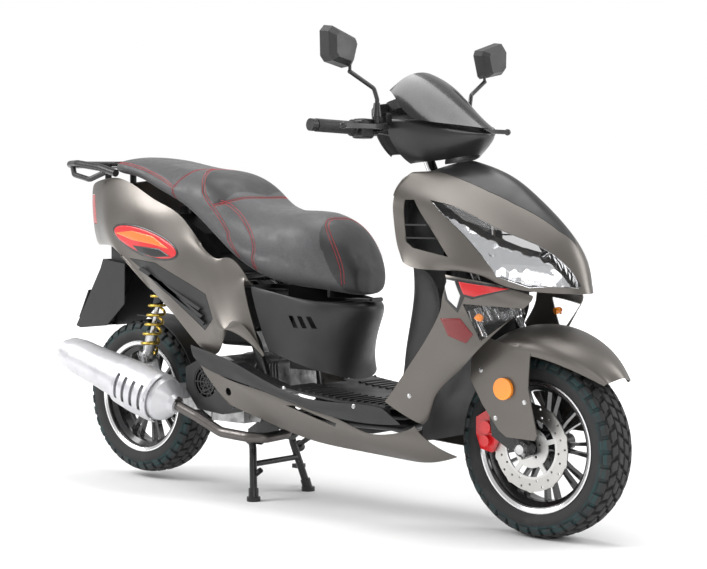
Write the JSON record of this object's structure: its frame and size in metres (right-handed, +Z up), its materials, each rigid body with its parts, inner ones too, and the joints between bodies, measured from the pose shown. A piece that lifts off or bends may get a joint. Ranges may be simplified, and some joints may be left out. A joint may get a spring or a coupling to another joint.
{
  "type": "moped scooter",
  "caption": "Petrol moped scooter with step-through floor, dual seat, disc front brake and swinging engine, parked on its centre stand.",
  "frame": {"origin": "bottom centre of the bounding box, on the floor", "axes": "+X forward, +Y to the rider's left, +Z up"},
  "size_m": [1.976, 0.7528, 1.262],
  "materials": {
    "satin_grey": "satin metallic",
    "frame_black": "satin",
    "trim_black": "grained",
    "lens_clear": "clear",
    "reflector": "bright",
    "amber": "translucent",
    "red_lens": "translucent",
    "smoke": "smoked",
    "alloy": "cast",
    "silver_can": "matt silver",
    "rim_black": "gloss",
    "disc_steel": "drilled",
    "tyre": "knobby",
    "grip_rubber": "ribbed",
    "chrome": "bright",
    "seat_vinyl": "textured vinyl",
    "caliper_red": "gloss",
    "shock_gold": "satin",
    "steel": "machined"
  },
  "bodies": {
    "chassis": {"main_frame": "frame_black", "floorboard": "trim_black", "leg_shield": "trim_black", "aprons": "satin_grey", "nose_panel": "trim_black", "front_cowl": "satin_grey", "headlight_lenses": "lens_clear", "headlight_reflectors": "reflector", "front_indicators": "lens_clear", "belly_panels": "satin_grey", "under_seat_cover": "trim_black", "side_panels": "satin_grey", "side_inserts": "trim_black", "tail_light": "red_lens", "grab_rail": "frame_black", "rear_mudguard": "trim_black", "storage_bucket": "trim_black", "fuel_tank": "frame_black", "battery": "trim_black"},
    "steering": {"fork_yoke": "chrome", "handlebar": "frame_black", "headset_cover": "trim_black", "windscreen": "smoke", "instrument_cluster": "smoke", "grip_left": "grip_rubber", "switch_pods": "trim_black", "lever_perches": "frame_black"},
    "fork_lower": {"fork_sliders": "frame_black", "brake_caliper": "caliper_red", "front_fender": "satin_grey", "fender_reflectors": "amber"},
    "front_wheel": {"front_tyre": "tyre", "front_rim": "rim_black", "front_brake_disc": "disc_steel"},
    "engine": {"engine_case": "alloy", "engine_head": "alloy", "fan_cover": "trim_black", "exhaust": "silver_can", "muffler_shield": "silver_can", "air_box": "trim_black"},
    "rear_wheel": {"rear_tyre": "tyre", "rear_rim": "rim_black"},
    "fan": {"cooling_fan": "alloy"},
    "shock_upper": {"shock_uppers": "frame_black"},
    "shock_lower": {"shock_lowers": "steel", "shock_springs": "shock_gold"},
    "seat": {"seat": "seat_vinyl"},
    "key": {"ignition_key": "steel"},
    "throttle": {"grip_throttle": "grip_rubber"},
    "lever_right": {"brake_lever_right": "frame_black"},
    "lever_left": {"brake_lever_left": "frame_black"},
    "starter": {"starter_button": "red_lens"},
    "turn": {"turn_switch": "trim_black"},
    "horn": {"horn_button": "trim_black"},
    "mirror_stem_r": {"mirror_stem_right": "frame_black"},
    "mirror_stem_l": {"mirror_stem_left": "frame_black"},
    "mirror_r": {"mirror_head_right": "trim_black"},
    "mirror_l": {"mirror_head_left": "trim_black"},
    "centre_stand": {"centre_stand": "frame_black"},
    "side_stand": {"side_stand": "frame_black"}
  },
  "joints": [
    {"name": "steering", "type": "hinge", "parent": "chassis", "child": "steering", "pos_m": [0.47595, 0, 0.75702], "axis": [-0.4384, 0, 0.8988], "range_deg": [-22, 22]},
    {"name": "fork_travel", "type": "slide", "parent": "steering", "child": "fork_lower", "axis": [-0.4384, 0, 0.8988], "range_m": [0, 0.035], "stiffness_N_per_m": 12000, "springref_m": -0.04},
    {"name": "front_wheel_spin", "type": "hinge", "parent": "fork_lower", "child": "front_wheel", "pos_m": [0.76, 0, 0.228], "axis": [0, 1, 0], "continuous": true},
    {"name": "engine_swing", "type": "hinge", "parent": "chassis", "child": "engine", "pos_m": [-0.15, 0, 0.222], "axis": [0, 1, 0], "range_deg": [0, 7], "stiffness_Nm_per_rad": 4000, "springref_deg": -1.15, "deforming": ["shock_springs"]},
    {"name": "rear_wheel_spin", "type": "hinge", "parent": "engine", "child": "rear_wheel", "pos_m": [-0.662, 0, 0.246], "axis": [0, 1, 0], "continuous": true},
    {"name": "fan_spin", "type": "hinge", "parent": "engine", "child": "fan", "pos_m": [-0.268, 0, 0.325], "axis": [0, 1, 0], "continuous": true},
    {"name": "shock_top_pivot", "type": "hinge", "parent": "chassis", "child": "shock_upper", "pos_m": [-0.487, 0, 0.612], "axis": [0, 1, 0], "range_deg": [-2.6, 0.2]},
    {"name": "shock_low_pivot", "type": "hinge", "parent": "engine", "child": "shock_lower", "pos_m": [-0.56, 0, 0.366], "axis": [0, 1, 0], "range_deg": [-10.6, 0.2]},
    {"name": "seat_hinge", "type": "hinge", "parent": "chassis", "child": "seat", "pos_m": [0.212, 0, 0.566], "axis": [0, 1, 0], "range_deg": [0, 50]},
    {"name": "key_turn", "type": "hinge", "parent": "chassis", "child": "key", "pos_m": [0.4, -0.112, 0.8], "axis": [1, 0, 0], "range_deg": [0, 90]},
    {"name": "throttle_twist", "type": "hinge", "parent": "steering", "child": "throttle", "pos_m": [0.32591, -0.3, 1.0158], "axis": [-0.1712, -0.9845, 0.038], "range_deg": [0, 70], "stiffness_Nm_per_rad": 0.4, "springref_deg": -5.73},
    {"name": "lever_right_pull", "type": "hinge", "parent": "steering", "child": "lever_right", "pos_m": [0.386, -0.176, 1.016], "axis": [0, 0, -1], "range_deg": [0, 12], "stiffness_Nm_per_rad": 4, "springref_deg": -5.73},
    {"name": "lever_left_pull", "type": "hinge", "parent": "steering", "child": "lever_left", "pos_m": [0.386, 0.176, 1.016], "axis": [0, 0, 1], "range_deg": [0, 12], "stiffness_Nm_per_rad": 4, "springref_deg": -5.73},
    {"name": "starter_press", "type": "slide", "parent": "steering", "child": "starter", "axis": [1, 0, 0], "range_m": [0, 0.003], "stiffness_N_per_m": 200, "springref_m": -0.002},
    {"name": "turn_switch_slide", "type": "slide", "parent": "steering", "child": "turn", "axis": [-0.1712, 0.9845, 0.038], "range_m": [-0.003, 0.003]},
    {"name": "horn_press", "type": "slide", "parent": "steering", "child": "horn", "axis": [1, 0, 0], "range_m": [0, 0.003], "stiffness_N_per_m": 200, "springref_m": -0.002},
    {"name": "mirror_stem_right_turn", "type": "hinge", "parent": "steering", "child": "mirror_stem_r", "pos_m": [0.376, -0.193, 1.042], "axis": [0, 0, 1], "range_deg": [-25, 25]},
    {"name": "mirror_stem_left_turn", "type": "hinge", "parent": "steering", "child": "mirror_stem_l", "pos_m": [0.376, 0.193, 1.042], "axis": [0, 0, 1], "range_deg": [-25, 25]},
    {"name": "mirror_right_tilt", "type": "hinge", "parent": "mirror_stem_r", "child": "mirror_r", "pos_m": [0.361, -0.279, 1.171], "axis": [0, 0, 1], "range_deg": [-12, 12]},
    {"name": "mirror_left_tilt", "type": "hinge", "parent": "mirror_stem_l", "child": "mirror_l", "pos_m": [0.361, 0.279, 1.171], "axis": [0, 0, 1], "range_deg": [-12, 12]},
    {"name": "centre_stand_fold", "type": "hinge", "parent": "chassis", "child": "centre_stand", "pos_m": [-0.175, 0, 0.165], "axis": [0, 1, 0], "range_deg": [0, 75]},
    {"name": "side_stand_fold", "type": "hinge", "parent": "chassis", "child": "side_stand", "pos_m": [-0.052, 0.12, 0.196], "axis": [0, -1, 0], "range_deg": [0, 80], "stiffness_Nm_per_rad": 3, "springref_deg": -45.84}
  ],
  "couplings": [
    {"joint": "shock_top_pivot", "follows": "engine_swing", "ratio": -0.2621},
    {"joint": "shock_low_pivot", "follows": "engine_swing", "ratio": -1.2621}
  ]
}
